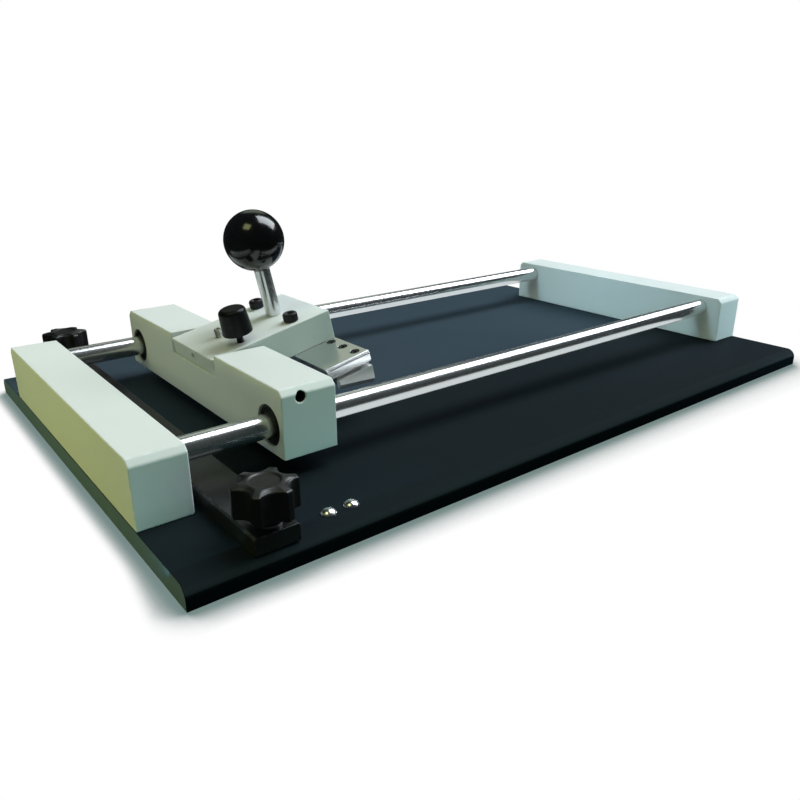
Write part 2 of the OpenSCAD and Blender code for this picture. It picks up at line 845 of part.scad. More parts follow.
module depth_cap() {
    r = cap_d / 2;
    top_r = cap_top_d / 2;
    top = cap_low + cap_h;
    color(plastic_black)
    at_depth_screw()
        difference() {
            rotate_extrude() {
                polygon([[0, cap_low], [r, cap_low], [top_r, top - cap_edge_r], [0, top - cap_edge_r]]);
                translate([0, cap_low]) square([top_r - cap_edge_r, cap_h]);
                intersection() {
                    translate([top_r - cap_edge_r, top - cap_edge_r]) circle(r = cap_edge_r);
                    translate([0, cap_low]) square([r, cap_h]);
                }
            }
            round_z(depth_screw_d + 2 * fixed_fit, 0, cap_low + cap_seat);
        }
}

// Places of the screws that hold the blade block on one side
module at_holder_screws(side) {
    for (i = [0 : 2])
        translate([arm_reach - holder_screw_edge, side * (holder_y - holder_screw_end - i * holder_screw_pitch), 0])
            children();
}

module holder_plate() {
    head_room = holder_screw_d + face_gap;
    color(steel)
    on_arm()
        difference() {
            along_x(arm_reach - holder_l, arm_reach)
                chamfered_outline(holder_y, holder_low, arm_low, holder_chamfer);
            at_arm_screws() round_z(arm_screw_d + 2 * fixed_fit, holder_low - eps, arm_low + eps);
            for (side = [-1, 1])
                at_holder_screws(side) {
                    round_z(holder_screw_d + 2 * screw_clear, holder_low - eps, arm_low + eps);
                    round_z(head_d(holder_screw_d) + 2 * screw_clear, arm_low - head_room, arm_low + eps);
                }
        }
}

// Outline of a blade, cut back from its edge by rise and from its ends by inset
module blade_outline(high, rise, inset) {
    polygon([
        [blade_heel.x + inset, high], [blade_tip.x - inset, high],
        [blade_tip.x - inset, blade_tip.y + rise], [blade_heel.x + inset, blade_heel.y + rise]
    ]);
}

// Places of a blade's two screws
module at_blade_screws() {
    for (i = [0, 1])
        translate([blade_heel.x + blade_screw_end + i * blade_screw_pitch, 0, blade_top - blade_screw_drop])
            children();
}

module blade_block(side) {
    outer = holder_y - blade_t;
    color(steel)
    on_arm()
        difference() {
            along_y(side < 0 ? -outer : outer - blade_block_d, side < 0 ? blade_block_d - outer : outer)
                blade_outline(holder_low, edge_clear, face_gap);
            at_holder_screws(side)
                round_z(holder_screw_d + 2 * fixed_fit, blade_top - blade_heel_h, holder_low + eps);
            at_blade_screws() round_y(blade_screw_d + 2 * screw_clear, -holder_y, holder_y);
        }
}

module front_blade_block() {
    blade_block(-1);
}

module rear_blade_block() {
    blade_block(1);
}

// Blade with its bevel ground on the outer face and tapped holes in the inner face
module blade(side) {
    bevel_angle = atan2(bevel_h, blade_t - edge_land);
    hole_end = blade_t - blade_screw_hold - face_gap;
    color(steel)
    on_arm()
        mirror([0, side < 0 ? 0 : 1, 0])
            difference() {
                along_y(-holder_y, blade_t - holder_y) blade_outline(blade_top, 0, 0);
                translate([blade_heel.x, blade_t - edge_land - holder_y, blade_heel.y])
                    rotate([0, -edge_angle, 0])
                        rotate([-bevel_angle, 0, 0])
                            translate([-blade_l, -blade_l, -blade_l]) cube([3 * blade_l, blade_l, blade_l]);
                at_blade_screws()
                    round_y(blade_screw_d + 2 * fixed_fit, hole_end - holder_y, blade_t - holder_y + eps);
            }
}

module front_blade() {
    blade(-1);
}

module rear_blade() {
    blade(1);
}

module holder_screws() {
    seat = arm_low - holder_screw_d - face_gap;
    shank = holder_t - holder_screw_d - face_gap + blade_gap + blade_heel_h;
    color(dark_steel)
    on_arm()
        for (side = [-1, 1])
            at_holder_screws(side) translate([0, 0, seat]) cap_screw(holder_screw_d, shank - face_gap);
}

module blade_screws() {
    inner = holder_y - blade_t - blade_block_d;
    shank = blade_block_d + blade_screw_hold;
    color(dark_steel)
    on_arm()
        for (side = [-1, 1])
            at_blade_screws()
                translate([0, side * inner, 0]) rotate([side * 90, 0, 0]) cap_screw(blade_screw_d, shank);
}

base_plate();
rubber_feet();
stop_studs();
left_end_block();
right_end_block();
front_rod();
rear_rod();
end_block_screws();
rod_grub_screws();
clamp_studs();
clamp_springs();
clamp_bar();
clamp_washers();
front_clamp_knob();
front_knob_insert();
rear_clamp_knob();
rear_knob_insert();
carriage_beam();
front_bearing();
rear_bearing();
bearing_seals();
bearing_grub_screws();
pivot_bushes();
arm_spring();
lever_arm();
pivot_pin();
arm_grub_screw();
lever_stem();
ball_knob();
arm_screws();
spring_screw();
depth_screw();
depth_cap();
holder_plate();
front_blade_block();
rear_blade_block();
front_blade();
rear_blade();
holder_screws();
blade_screws();
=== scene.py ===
import json
import math
import bmesh
import bpy
from mathutils import Matrix, Vector

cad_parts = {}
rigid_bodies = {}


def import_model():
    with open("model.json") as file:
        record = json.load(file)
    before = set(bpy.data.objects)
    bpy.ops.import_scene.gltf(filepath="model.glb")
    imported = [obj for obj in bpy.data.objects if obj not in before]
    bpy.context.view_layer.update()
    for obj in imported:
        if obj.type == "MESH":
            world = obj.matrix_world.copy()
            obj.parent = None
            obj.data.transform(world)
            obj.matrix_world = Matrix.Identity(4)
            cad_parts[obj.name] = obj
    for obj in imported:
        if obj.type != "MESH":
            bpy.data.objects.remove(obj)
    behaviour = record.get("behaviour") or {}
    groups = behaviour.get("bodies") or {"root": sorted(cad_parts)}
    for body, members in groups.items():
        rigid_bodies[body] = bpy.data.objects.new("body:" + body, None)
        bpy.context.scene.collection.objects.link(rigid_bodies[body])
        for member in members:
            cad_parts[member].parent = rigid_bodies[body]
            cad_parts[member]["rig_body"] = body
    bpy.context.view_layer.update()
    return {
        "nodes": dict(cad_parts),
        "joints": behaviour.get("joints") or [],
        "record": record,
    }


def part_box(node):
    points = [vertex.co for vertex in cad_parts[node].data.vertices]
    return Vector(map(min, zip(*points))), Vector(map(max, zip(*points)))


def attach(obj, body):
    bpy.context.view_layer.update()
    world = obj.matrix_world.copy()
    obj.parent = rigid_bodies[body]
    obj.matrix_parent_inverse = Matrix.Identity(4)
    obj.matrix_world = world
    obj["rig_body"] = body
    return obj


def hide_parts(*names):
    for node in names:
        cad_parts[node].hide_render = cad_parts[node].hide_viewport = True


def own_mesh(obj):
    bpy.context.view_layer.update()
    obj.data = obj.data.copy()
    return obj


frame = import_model()
nodes = frame["nodes"]
joints = {joint["name"]: joint for joint in frame["joints"]}
slotOf = {part["node"]: part["material_slot"] for part in frame["record"]["subparts"]}
mm = 0.001
print("frame:", len(nodes), "nodes")


# camera

camera = {
    "eye": (-0.31477, -0.37873, 0.17183),
    "heading": 38.163,   # degrees from +Y towards +X
    "down": 20.935,
    "roll": -0.225,
    "lens": 32.836,
    "sensor": 36,        # square
    "clip": (0.01, 50),
}


def makeCamera(c):
    heading, down, roll = (math.radians(c[k]) for k in ("heading", "down", "roll"))
    level = math.cos(down)
    ahead = Vector((math.sin(heading) * level, math.cos(heading) * level, -math.sin(down)))
    side = Vector((math.cos(heading), -math.sin(heading), 0))
    up = side.cross(ahead)
    right = side * math.cos(roll) + up * math.sin(roll)
    up = right.cross(ahead)
    data = bpy.data.cameras.new("photoCamera")
    data.lens = c["lens"]
    data.sensor_width = c["sensor"]
    data.clip_start, data.clip_end = c["clip"]
    made = bpy.data.objects.new("photoCamera", data)
    made.matrix_world = Matrix((right, up, -ahead)).transposed().to_4x4()
    made.location = c["eye"]
    bpy.context.scene.collection.objects.link(made)
    bpy.context.scene.camera = made


makeCamera(camera)
print("camera set")


# shader sockets as numbers

class Sock:
    def __init__(self, shader, socket):
        self.shader = shader
        self.socket = socket

    def sum(self, operation, a, b):
        return self.shader.node("ShaderNodeMath", {"operation": operation}, {0: a, 1: b})

    def __add__(self, other):
        return self.sum("ADD", self, other)

    def __radd__(self, other):
        return self.sum("ADD", other, self)

    def __sub__(self, other):
        return self.sum("SUBTRACT", self, other)

    def __rsub__(self, other):
        return self.sum("SUBTRACT", other, self)

    def __mul__(self, other):
        return self.sum("MULTIPLY", self, other)

    def __rmul__(self, other):
        return self.sum("MULTIPLY", other, self)

    def __truediv__(self, other):
        return self.sum("DIVIDE", self, other)

    def __pow__(self, other):
        return self.sum("POWER", self, other)


class Shader:
    def __init__(self, owner):
        owner.use_nodes = True
        self.owner = owner
        self.tree = owner.node_tree
        self.tree.nodes.clear()

    def node(self, kind, settings=None, sockets=None, out=0):
        made = self.tree.nodes.new(kind)
        for key, value in (settings or {}).items():
            setattr(made, key, value)
        for key, value in (sockets or {}).items():
            if isinstance(value, Sock):
                self.tree.links.new(value.socket, made.inputs[key])
            else:
                made.inputs[key].default_value = value
        return Sock(self, made.outputs[out]) if made.outputs else None

    def where(self, stretch=(1, 1, 1)):      # place on the piece in metres, stretched for grain
        at = self.node("ShaderNodeTexCoord", out="Object")
        return self.node("ShaderNodeVectorMath", {"operation": "MULTIPLY"}, {0: at, 1: stretch})

    def noise(self, size, detail=2.0, stretch=(1, 1, 1)):    # soft noise with spots of about this size
        sockets = {"Vector": self.where(stretch), "Scale": 1 / size, "Detail": detail}
        return self.node("ShaderNodeTexNoise", sockets=sockets)

    def step(self, value, low, high):        # 0 below low, 1 above high, smooth between
        sockets = {"Value": value, "From Min": low, "From Max": high}
        return self.node("ShaderNodeMapRange", {"interpolation_type": "SMOOTHSTEP"}, sockets)

    def blend(self, mask, a, b):
        a, b = ((*c, 1) if isinstance(c, tuple) else c for c in (a, b))
        return self.node("ShaderNodeMix", {"data_type": "RGBA"}, {0: mask, 6: a, 7: b}, out=2)

    def edge(self):                          # 1 on the rounded edges of a softened piece
        return self.node("ShaderNodeAttribute", {"attribute_name": "edge"}, out="Fac")

    def bump(self, height, depth, strength=1.0):
        sockets = {"Height": height, "Distance": depth, "Strength": strength}
        return self.node("ShaderNodeBump", sockets=sockets)

    def surface(self, **sockets):
        named = {key.replace("_", " "): value for key, value in sockets.items()}
        shown = self.node("ShaderNodeBsdfPrincipled", sockets=named)
        self.node("ShaderNodeOutputMaterial", sockets={"Surface": shown})
        return self.owner


def newShader(name):
    return Shader(bpy.data.materials.new(name))


# finishes, each with its colours, grain sizes, roughness and bump depth

def greyPaint():
    look = {"deep": (0.670, 0.718, 0.698), "pale": (0.730, 0.778, 0.758), "worn": (0.80, 0.83, 0.82),
            "bore": (0.012, 0.014, 0.012), "peel": 1.1 * mm, "speck": 0.28 * mm, "cloud": 45 * mm,
            "wear": 5 * mm, "rough": 0.40, "depth": 0.05 * mm, "gloss": 0.4}
    s = newShader("greyPaint")
    peel = s.noise(look["peel"], 3)          # orange peel of the powder coat
    speck = s.noise(look["speck"], 1)
    cloud = s.noise(look["cloud"], 3)
    # rounded edges painted paler in patches: partly worn paint, partly a painted edge highlight
    worn = s.edge() * s.step(s.noise(look["wear"], 4), 0.48, 0.62)
    colour = s.blend(cloud * 0.7 + speck * 0.3, look["deep"], look["pale"])
    colour = s.blend(worn * 0.6, colour, look["worn"])
    # the marked wall of the pin's hole is painted near black, painted shade inside the hole
    bore = s.node("ShaderNodeAttribute", {"attribute_name": "bore"}, out="Fac")
    colour = s.blend(bore * 0.98, colour, look["bore"])
    rough = look["rough"] + speck * 0.12 + cloud * 0.08 - worn * 0.10
    normal = s.bump(peel * 0.8 + speck * 0.2, look["depth"], 0.6)
    return s.surface(Base_Color=colour, Roughness=rough, Normal=normal, Specular_IOR_Level=look["gloss"])


def blackPlate():
    # painted light and shade in the plate: a paler painted sheen behind the front rod, paler rounded edges
    # and end faces, and near black vertical faces
    look = {"front": (0.0098, 0.0152, 0.0186), "table": (0.040, 0.061, 0.080),
            "tint": (0.010, 0.014, 0.018), "paintedRollLight": (0.0190, 0.0260, 0.0300),
            "side": (0.0030, 0.0052, 0.0070), "endLight": (0.125, 0.190, 0.255),
            "rubbed": (0.020, 0.026, 0.030), "tableFrom": -52 * mm, "tableTo": -34 * mm,
            "brushing": 0.35 * mm, "cloud": 60 * mm, "dust": 0.9 * mm, "wear": 4 * mm, "rough": 0.56,
            "depth": 0.012 * mm, "gloss": 0.015}
    s = newShader("blackPlate")
    brushed = s.noise(look["brushing"], 3, (0.03, 1, 1))     # faint brushing along the rods
    cloud = s.noise(look["cloud"], 4)
    dust = s.step(s.noise(look["dust"], 2), 0.70, 0.78)
    across = s.node("ShaderNodeSeparateXYZ", sockets={0: s.where()}, out="Y")
    table = s.step(across, look["tableFrom"], look["tableTo"])       # the plate is painted paler from behind the front rod to the back, a painted sheen
    facing = s.node("ShaderNodeTexCoord", out="Normal")
    endways, upwards = (s.node("ShaderNodeSeparateXYZ", sockets={0: facing}, out=axis) for axis in "XZ")
    endLight = s.step(endways * endways, 0.7, 0.95)            # the end faces are painted paler, as painted light
    paintedRollLight = s.step(1 - upwards, 0.06, 0.50)                 # so is the front edge where it rolls over, painted light that keeps the rounding as bright as the top
    # faces turned away from up take the near black side colour, painted shade on the vertical faces
    level = s.step(upwards, 0.22, 0.42)
    rubbed = s.edge() * s.step(s.noise(look["wear"], 4), 0.5, 0.66)
    colour = s.blend(table, look["front"], look["table"])
    colour = s.blend(cloud * 0.16 + brushed * 0.12, colour, look["tint"])
    colour = s.blend(paintedRollLight, colour, look["paintedRollLight"])
    colour = s.blend(level, look["side"], colour)
    colour = s.blend(endLight * (0.8 + brushed * 0.2), colour, look["endLight"])
    colour = s.blend(rubbed * 0.5, colour, look["rubbed"])
    rough = look["rough"] + brushed * 0.08 + cloud * 0.06 + dust * 0.08
    normal = s.bump(brushed, look["depth"], 0.3)
    return s.surface(Base_Color=colour, Roughness=rough, Normal=normal, Specular_IOR_Level=look["gloss"])


def blackBar():
    look = {"deep": (0.006, 0.0065, 0.0075), "pale": (0.014, 0.0145, 0.016), "rubbed": (0.09, 0.092, 0.095),
            "grain": 0.5 * mm, "cloud": 25 * mm, "wear": 3 * mm, "rough": 0.30, "depth": 0.02 * mm,
            "gloss": 0.4}
    s = newShader("blackBar")
    grain = s.noise(look["grain"], 3, (1, 0.08, 1))
    cloud = s.noise(look["cloud"], 3)
    rubbed = s.edge() * s.step(s.noise(look["wear"], 4), 0.5, 0.64)
    colour = s.blend(cloud * 0.6 + grain * 0.4, look["deep"], look["pale"])
    colour = s.blend(rubbed * 0.6, colour, look["rubbed"])
    rough = look["rough"] + grain * 0.12
    normal = s.bump(grain, look["depth"], 0.4)
    return s.surface(Base_Color=colour, Roughness=rough, Normal=normal, Specular_IOR_Level=look["gloss"])


def rodChrome():
    look = {"dull": (0.66, 0.67, 0.68), "bright": (0.80, 0.81, 0.82), "grinding": 0.16 * mm,
            "runs": 1.1 * mm, "rough": 0.17, "depth": 0.004 * mm, "metal": 0.95}
    s = newShader("rodChrome")
    ground = s.noise(look["grinding"], 2, (1, 0.02, 0.02))   # grinding marks round the rod
    run = s.noise(look["runs"], 2, (0.004, 1, 1))            # lines where the bearing balls run
    colour = s.blend(ground * 0.5 + run * 0.5, look["dull"], look["bright"])
    rough = look["rough"] + ground * 0.08 + s.step(run, 0.5, 0.7) * 0.05
    normal = s.bump(ground, look["depth"], 0.25)
    return s.surface(Base_Color=colour, Metallic=look["metal"], Roughness=rough, Normal=normal)


def groundSteel(name, metal):
    look = {"dull": (0.66, 0.67, 0.67), "bright": (0.82, 0.83, 0.83), "grinding": 0.22 * mm,
            "cloud": 9 * mm, "rough": 0.14, "depth": 0.008 * mm}
    s = newShader(name)
    ground = s.noise(look["grinding"], 3, (1, 0.015, 1))     # surface grinding front to back
    cloud = s.noise(look["cloud"], 3)
    colour = s.blend(ground * 0.6 + cloud * 0.4, look["dull"], look["bright"])
    rough = look["rough"] + ground * 0.14 + cloud * 0.06
    normal = s.bump(ground, look["depth"], 0.4)
    return s.surface(Base_Color=colour, Metallic=metal, Roughness=rough, Normal=normal)


def zincSteel():
    look = {"dull": (0.46, 0.46, 0.44), "bright": (0.62, 0.62, 0.60), "bloom": 1.6 * mm, "fine": 0.25 * mm,
            "rough": 0.22, "depth": 0.01 * mm}
    s = newShader("zincSteel")
    bloom = s.noise(look["bloom"], 4)
    fine = s.noise(look["fine"], 2)
    colour = s.blend(bloom, look["dull"], look["bright"])
    rough = look["rough"] + bloom * 0.12 + fine * 0.06
    normal = s.bump(fine, look["depth"], 0.4)
    return s.surface(Base_Color=colour, Metallic=1.0, Roughness=rough, Normal=normal)


def springWire():
    look = {"dull": (0.30, 0.30, 0.31), "bright": (0.52, 0.52, 0.53), "drawing": 0.3 * mm, "rough": 0.25,
            "depth": 0.01 * mm}
    s = newShader("springWire")
    drawn = s.noise(look["drawing"], 3, (1, 1, 0.5))
    colour = s.blend(drawn, look["dull"], look["bright"])
    normal = s.bump(drawn, look["depth"], 0.5)
    return s.surface(Base_Color=colour, Metallic=1.0, Roughness=look["rough"] + drawn * 0.18, Normal=normal)


def blackOxide():
    look = {"deep": (0.010, 0.010, 0.011), "pale": (0.028, 0.028, 0.030), "rubbed": (0.16, 0.16, 0.16),
            "oil": 2.2 * mm, "fine": 0.2 * mm, "wear": 0.8 * mm, "rough": 0.32, "depth": 0.01 * mm,
            "metal": 0.5}
    s = newShader("blackOxide")
    oil = s.noise(look["oil"], 3)
    fine = s.noise(look["fine"], 2)
    rubbed = s.step(s.noise(look["wear"], 3), 0.66, 0.76)
    colour = s.blend(oil * 0.7 + fine * 0.3, look["deep"], look["pale"])
    colour = s.blend(rubbed * 0.5, colour, look["rubbed"])
    rough = look["rough"] + oil * 0.14 + fine * 0.08
    normal = s.bump(fine, look["depth"], 0.5)
    return s.surface(Base_Color=colour, Metallic=look["metal"], Roughness=rough, Normal=normal)


def ballPlastic():
    look = {"deep": (0.0022, 0.0022, 0.0026), "pale": (0.0045, 0.0045, 0.005), "cloud": 8 * mm,
            "marks": 2.5 * mm, "wave": 14 * mm, "rough": 0.15, "depth": 0.15 * mm, "coat": 0.25,
            "coatRough": 0.12}
    s = newShader("ballPlastic")
    cloud = s.noise(look["cloud"], 2)
    handled = s.step(s.noise(look["marks"], 5), 0.52, 0.72)  # finger marks dull the gloss
    wave = s.noise(look["wave"], 1)
    colour = s.blend(cloud, look["deep"], look["pale"])
    rough = look["rough"] + handled * 0.06
    normal = s.bump(wave, look["depth"], 0.10)
    return s.surface(Base_Color=colour, Roughness=rough, Normal=normal, Coat_Weight=look["coat"],
                     Coat_Roughness=look["coatRough"])


def knobPlastic(name, rough, gloss):
    look = {"deep": (0.0030, 0.0034, 0.0036), "pale": (0.0062, 0.0068, 0.0070),
            "worn": (0.020, 0.021, 0.022), "skin": 0.45 * mm, "cloud": 6 * mm, "marks": 3.2 * mm,
            "depth": 0.03 * mm}
    s = newShader(name)
    moulded = s.noise(look["skin"], 3)
    cloud = s.noise(look["cloud"], 3)
    handled = s.step(s.noise(look["marks"], 4), 0.55, 0.75)
    colour = s.blend(cloud, look["deep"], look["pale"])
    colour = s.blend(handled * 0.25, colour, look["worn"])
    normal = s.bump(moulded, look["depth"], 0.5)
    rough = rough + moulded * 0.14 - handled * 0.06
    return s.surface(Base_Color=colour, Roughness=rough, Normal=normal, Specular_IOR_Level=gloss)


def yellowMetal(name, dull, bright, rough):
    look = {"turning": 0.3 * mm, "stain": 2.5 * mm, "depth": 0.01 * mm}
    s = newShader(name)
    turned = s.noise(look["turning"], 2, (0.2, 0.2, 1))
    stain = s.noise(look["stain"], 4)
    colour = s.blend(stain * 0.6 + turned * 0.4, dull, bright)
    normal = s.bump(turned, look["depth"], 0.5)
    return s.surface(Base_Color=colour, Metallic=1.0, Roughness=rough + turned * 0.12, Normal=normal)


def rubber(name, deep, pale, grain):
    look = {"cloud": 7 * mm, "rough": 0.58, "depth": 0.04 * mm, "gloss": 0.3}
    s = newShader(name)
    skin = s.noise(grain, 3)
    cloud = s.noise(look["cloud"], 3)
    colour = s.blend(cloud * 0.6 + skin * 0.4, deep, pale)
    rough = look["rough"] + skin * 0.2
    normal = s.bump(skin, look["depth"], 0.6)
    return s.surface(Base_Color=colour, Roughness=rough, Normal=normal, Specular_IOR_Level=look["gloss"])


finishes = {
    "grey_paint": greyPaint(),
    "black_plate": blackPlate(),
    "black_bar": blackBar(),
    "rod_chrome": rodChrome(),
    "polished_steel": groundSteel("polishedSteel", 1.0),
    "zinc_steel": zincSteel(),
    "spring_wire": springWire(),
    "black_oxide": blackOxide(),
    "ball_plastic": ballPlastic(),
    "knob_plastic": knobPlastic("knobPlastic", 0.28, 0.22),
    "bronze": yellowMetal("sinteredBronze", (0.33, 0.20, 0.09), (0.52, 0.35, 0.17), 0.34),
    "insert_brass": yellowMetal("turnedBrass", (0.52, 0.36, 0.13), (0.72, 0.54, 0.24), 0.22),
    "seal_rubber": rubber("sealRubber", (0.006, 0.006, 0.006), (0.014, 0.014, 0.015), 0.25 * mm),
    "foot_rubber": rubber("footRubber", (0.010, 0.010, 0.010), (0.022, 0.022, 0.022), 0.5 * mm),
}
satinSteel = groundSteel("satinSteel", 0.25)             # the blades are ground matt
starPlastic = knobPlastic("starPlastic", 0.34, 0.55)     # the star knobs have a broader sheen than the cap
print("finishes for", len(finishes), "slots")


# places read from the frame

alongX = Matrix(((0, 0, 1), (1, 0, 0), (0, 1, 0))).to_4x4()     # local +Z points along X
alongY = Matrix(((0, 1, 0), (0, 0, 1), (1, 0, 0))).to_4x4()
upright = Matrix.Identity(4)
flipped = Matrix.Rotation(math.pi, 4, "X")


def armFrame():      # pivot at the origin, +X along the raised arm, +Z out of its top
    up = Vector(joints["depth_travel"]["axis"]).normalized()
    across = Vector((0, 1, 0))
    turned = Matrix((across.cross(up), across, up)).transposed().to_4x4()
    return Matrix.Translation(joints["arm_pivot"]["pos_m"]) @ turned


arm = armFrame()


def merged(node):
    mesh = bmesh.new()
    mesh.from_mesh(nodes[node].data)
    bmesh.ops.remove_doubles(mesh, verts=mesh.verts, dist=0.001 * mm)
    return mesh


def solidBoxes(node, place):     # lowest and highest corner of each solid of a node, seen in a place
    mesh = merged(node)
    back = place.inverted()
    waiting = set(mesh.verts)
    boxes = []
    while waiting:
        todo = [waiting.pop()]
        points = []
        while todo:
            vert = todo.pop()
            points.append(back @ vert.co)
            near = {e.other_vert(vert) for e in vert.link_edges} & waiting
            waiting -= near
            todo.extend(near)
        low = Vector([min(p[i] for p in points) for i in range(3)])
        high = Vector([max(p[i] for p in points) for i in range(3)])
        boxes.append((low, high))
    mesh.free()
    return sorted(boxes, key=lambda b: tuple(round(c, 5) for c in b[0]))


def turnedPlaces(node, place):   # axis place, radius, low and high of each round solid of a node
    found = []
    for low, high in solidBoxes(node, place):
        middle = (low + high) / 2
        axis = place @ Matrix.Translation((middle.x, middle.y, 0))
        found.append((axis, (high.x - low.x) / 2, low.z, high.z))
    return found


# mesh helpers

def finishPiece(name, mesh, node, weighted=True, finish=None):
    bmesh.ops.recalc_face_normals(mesh, faces=mesh.faces)
    data = bpy.data.meshes.new(name)
    mesh.to_mesh(data)
    mesh.free()
    data.shade_smooth()
    data.materials.append(finish or finishes[slotOf[node]])
    piece = bpy.data.objects.new(name, data)
    bpy.context.scene.collection.objects.link(piece)
    if weighted:
        piece.modifiers.new("evenShade", "WEIGHTED_NORMAL").weight = 80
    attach(piece, nodes[node]["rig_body"])
    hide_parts(node)
    return piece


def loops(edges):                # groups of edges that touch
    waiting = set(edges)
    while waiting:
        todo = [waiting.pop()]
        group = []
        while todo:
            edge = todo.pop()
            group.append(edge)
            near = {e for v in edge.verts for e in v.link_edges} & waiting
            waiting -= near
            todo.extend(near)
        yield group


def isFlat(group):               # all corners of a loop in one plane
    points = [v.co for e in group for v in e.verts]
    first = points[0]
    normal = max(((p - first).cross(q - first) for p, q in zip(points, points[len(points) // 3:])),
                 key=lambda n: n.length)
    if not normal.length:
        return False
    normal.normalize()
    return all(abs((p - first).dot(normal)) < 0.01 * mm for p in points)


def markShadedBore(mesh, pin):         # the wall of the hole that holds a pin is marked, to be painted near black as painted shade inside the hole
    mark = mesh.faces.layers.float.new("bore")
    axis, r, low, high = turnedPlaces(pin, alongY)[0]
    back = axis.inverted()
    for face in mesh.faces:
        at = back @ face.calc_center_median()
        isWall = math.hypot(at.x, at.y) < r * 1.15 and abs(face.normal.y) < 0.2
        face[mark] = 1.0 if isWall else 0.0


softening = {"flatAngle": 0.2, "sharpAngle": 28, "longEdge": 2.4 * mm, "edgeParts": 3, "rimParts": 2}


def softened(name, node, edge, rim, pin=None, finish=None):
    # the node's own shape with its outer edges rounded by edge and its hole rims by rim
    mesh = merged(node)
    flatAngle, sharpAngle = (math.radians(softening[k]) for k in ("flatAngle", "sharpAngle"))
    bmesh.ops.dissolve_limit(mesh, angle_limit=flatAngle, verts=mesh.verts, edges=mesh.edges)
    mark = mesh.faces.layers.float.new("edge")
    isOuter = mesh.edges.layers.int.new("outer")
    sharp = [e for e in mesh.edges if e.is_manifold and e.calc_face_angle() > sharpAngle]
    rims, outer = [], []
    for group in loops(sharp):
        if max(e.calc_length() for e in group) > softening["longEdge"]:
            outer += group
        elif isFlat(group):      # curves where two bores meet stay as they are
            rims += group
    for e in outer:
        e[isOuter] = 1

    def roundOff(edges, width, parts):
        made = bmesh.ops.bevel(mesh, geom=edges, offset=width, offset_type="OFFSET", segments=parts,
                               profile=0.5, affect="EDGES", clamp_overlap=False, loop_slide=True)
        for face in made["faces"]:
            face[mark] = 1.0

    if rims:
        roundOff(rims, rim, softening["rimParts"])
    roundOff([e for e in mesh.edges if e[isOuter]], edge, softening["edgeParts"])
    mesh.edges.layers.int.remove(isOuter)
    if pin:
        markShadedBore(mesh, pin)
    finishPiece(name, mesh, node, finish=finish)


def ring(mesh, place, radius, height, steps):
    if not callable(radius) and radius <= 0:
        return [mesh.verts.new(place @ Vector((0, 0, height)))]
    made = []
    for i in range(steps):
        angle = 2 * math.pi * i / steps
        r = radius(angle) if callable(radius) else radius
        made.append(mesh.verts.new(place @ Vector((r * math.cos(angle), r * math.sin(angle), height))))
    return made


def spin(mesh, place, profile, steps=64, closed=False):
    # rings of (radius, height) joined into a skin; a radius may be a function of the angle
    rings = [ring(mesh, place, radius, height, steps) for radius, height in profile]
    pairs = list(zip(rings, rings[1:]))
    if closed:
        pairs.append((rings[-1], rings[0]))
    for low, high in pairs:
        if len(low) == 1 and len(high) == 1:
            continue
        for i in range(steps):
            j = (i + 1) % steps
            corners = [low[i % len(low)], low[j % len(low)], high[j % len(high)], high[i % len(high)]]
            mesh.faces.new(list(dict.fromkeys(corners)))


def rounded(corners, steps=4):
    # profile of (radius, height, fillet) corners, each fillet turned into an arc
    points = []
    for i, (r, h, fillet) in enumerate(corners):
        here = Vector((r, h))
        if not fillet or i in (0, len(corners) - 1):
            points.append((r, h))
            continue
        before = (Vector(corners[i - 1][:2]) - here).normalized()
        after = (Vector(corners[i + 1][:2]) - here).normalized()
        half = before.angle(after) / 2
        reach = fillet / math.tan(half)
        centre = here + (before + after).normalized() * (fillet / math.sin(half))
        start = here + before * reach - centre
        end = here + after * reach - centre
        for k in range(steps + 1):
            spoke = start.lerp(end, k / steps).normalized() * fillet
            points.append(tuple(centre + spoke))
    return points


def hexagon(across):     # radius of a hexagon at an angle; across is its width over corners
    flat = across / 2 * math.cos(math.pi / 6)
    return lambda a: flat / math.cos((a + math.pi / 6) % (math.pi / 3) - math.pi / 6)


def socketRings(across, top, depth, lead):     # hex socket in a flat end, with a drill point at its bottom
    point = across * 0.12
    return [(across / 2 + lead, top), (hexagon(across), top - lead), (hexagon(across), top - depth),
            (0, top - depth - point)]


def thread(radius, pitch, low, high, depth, ringsPerTurn=8):     # rings of a screw thread
    count = max(2, round((high - low) / pitch * ringsPerTurn))
    rings = []
    for i in range(count + 1):
        height = low + (high - low) * i / count

        def wavy(angle, height=height):
            turn = (height / pitch - angle / (2 * math.pi)) % 1
            return radius - depth * abs(2 * turn - 1)

        rings.append((wavy, height))
    return rings


# blocks, carriage, arm and plates keep the shape of their nodes with softened edges

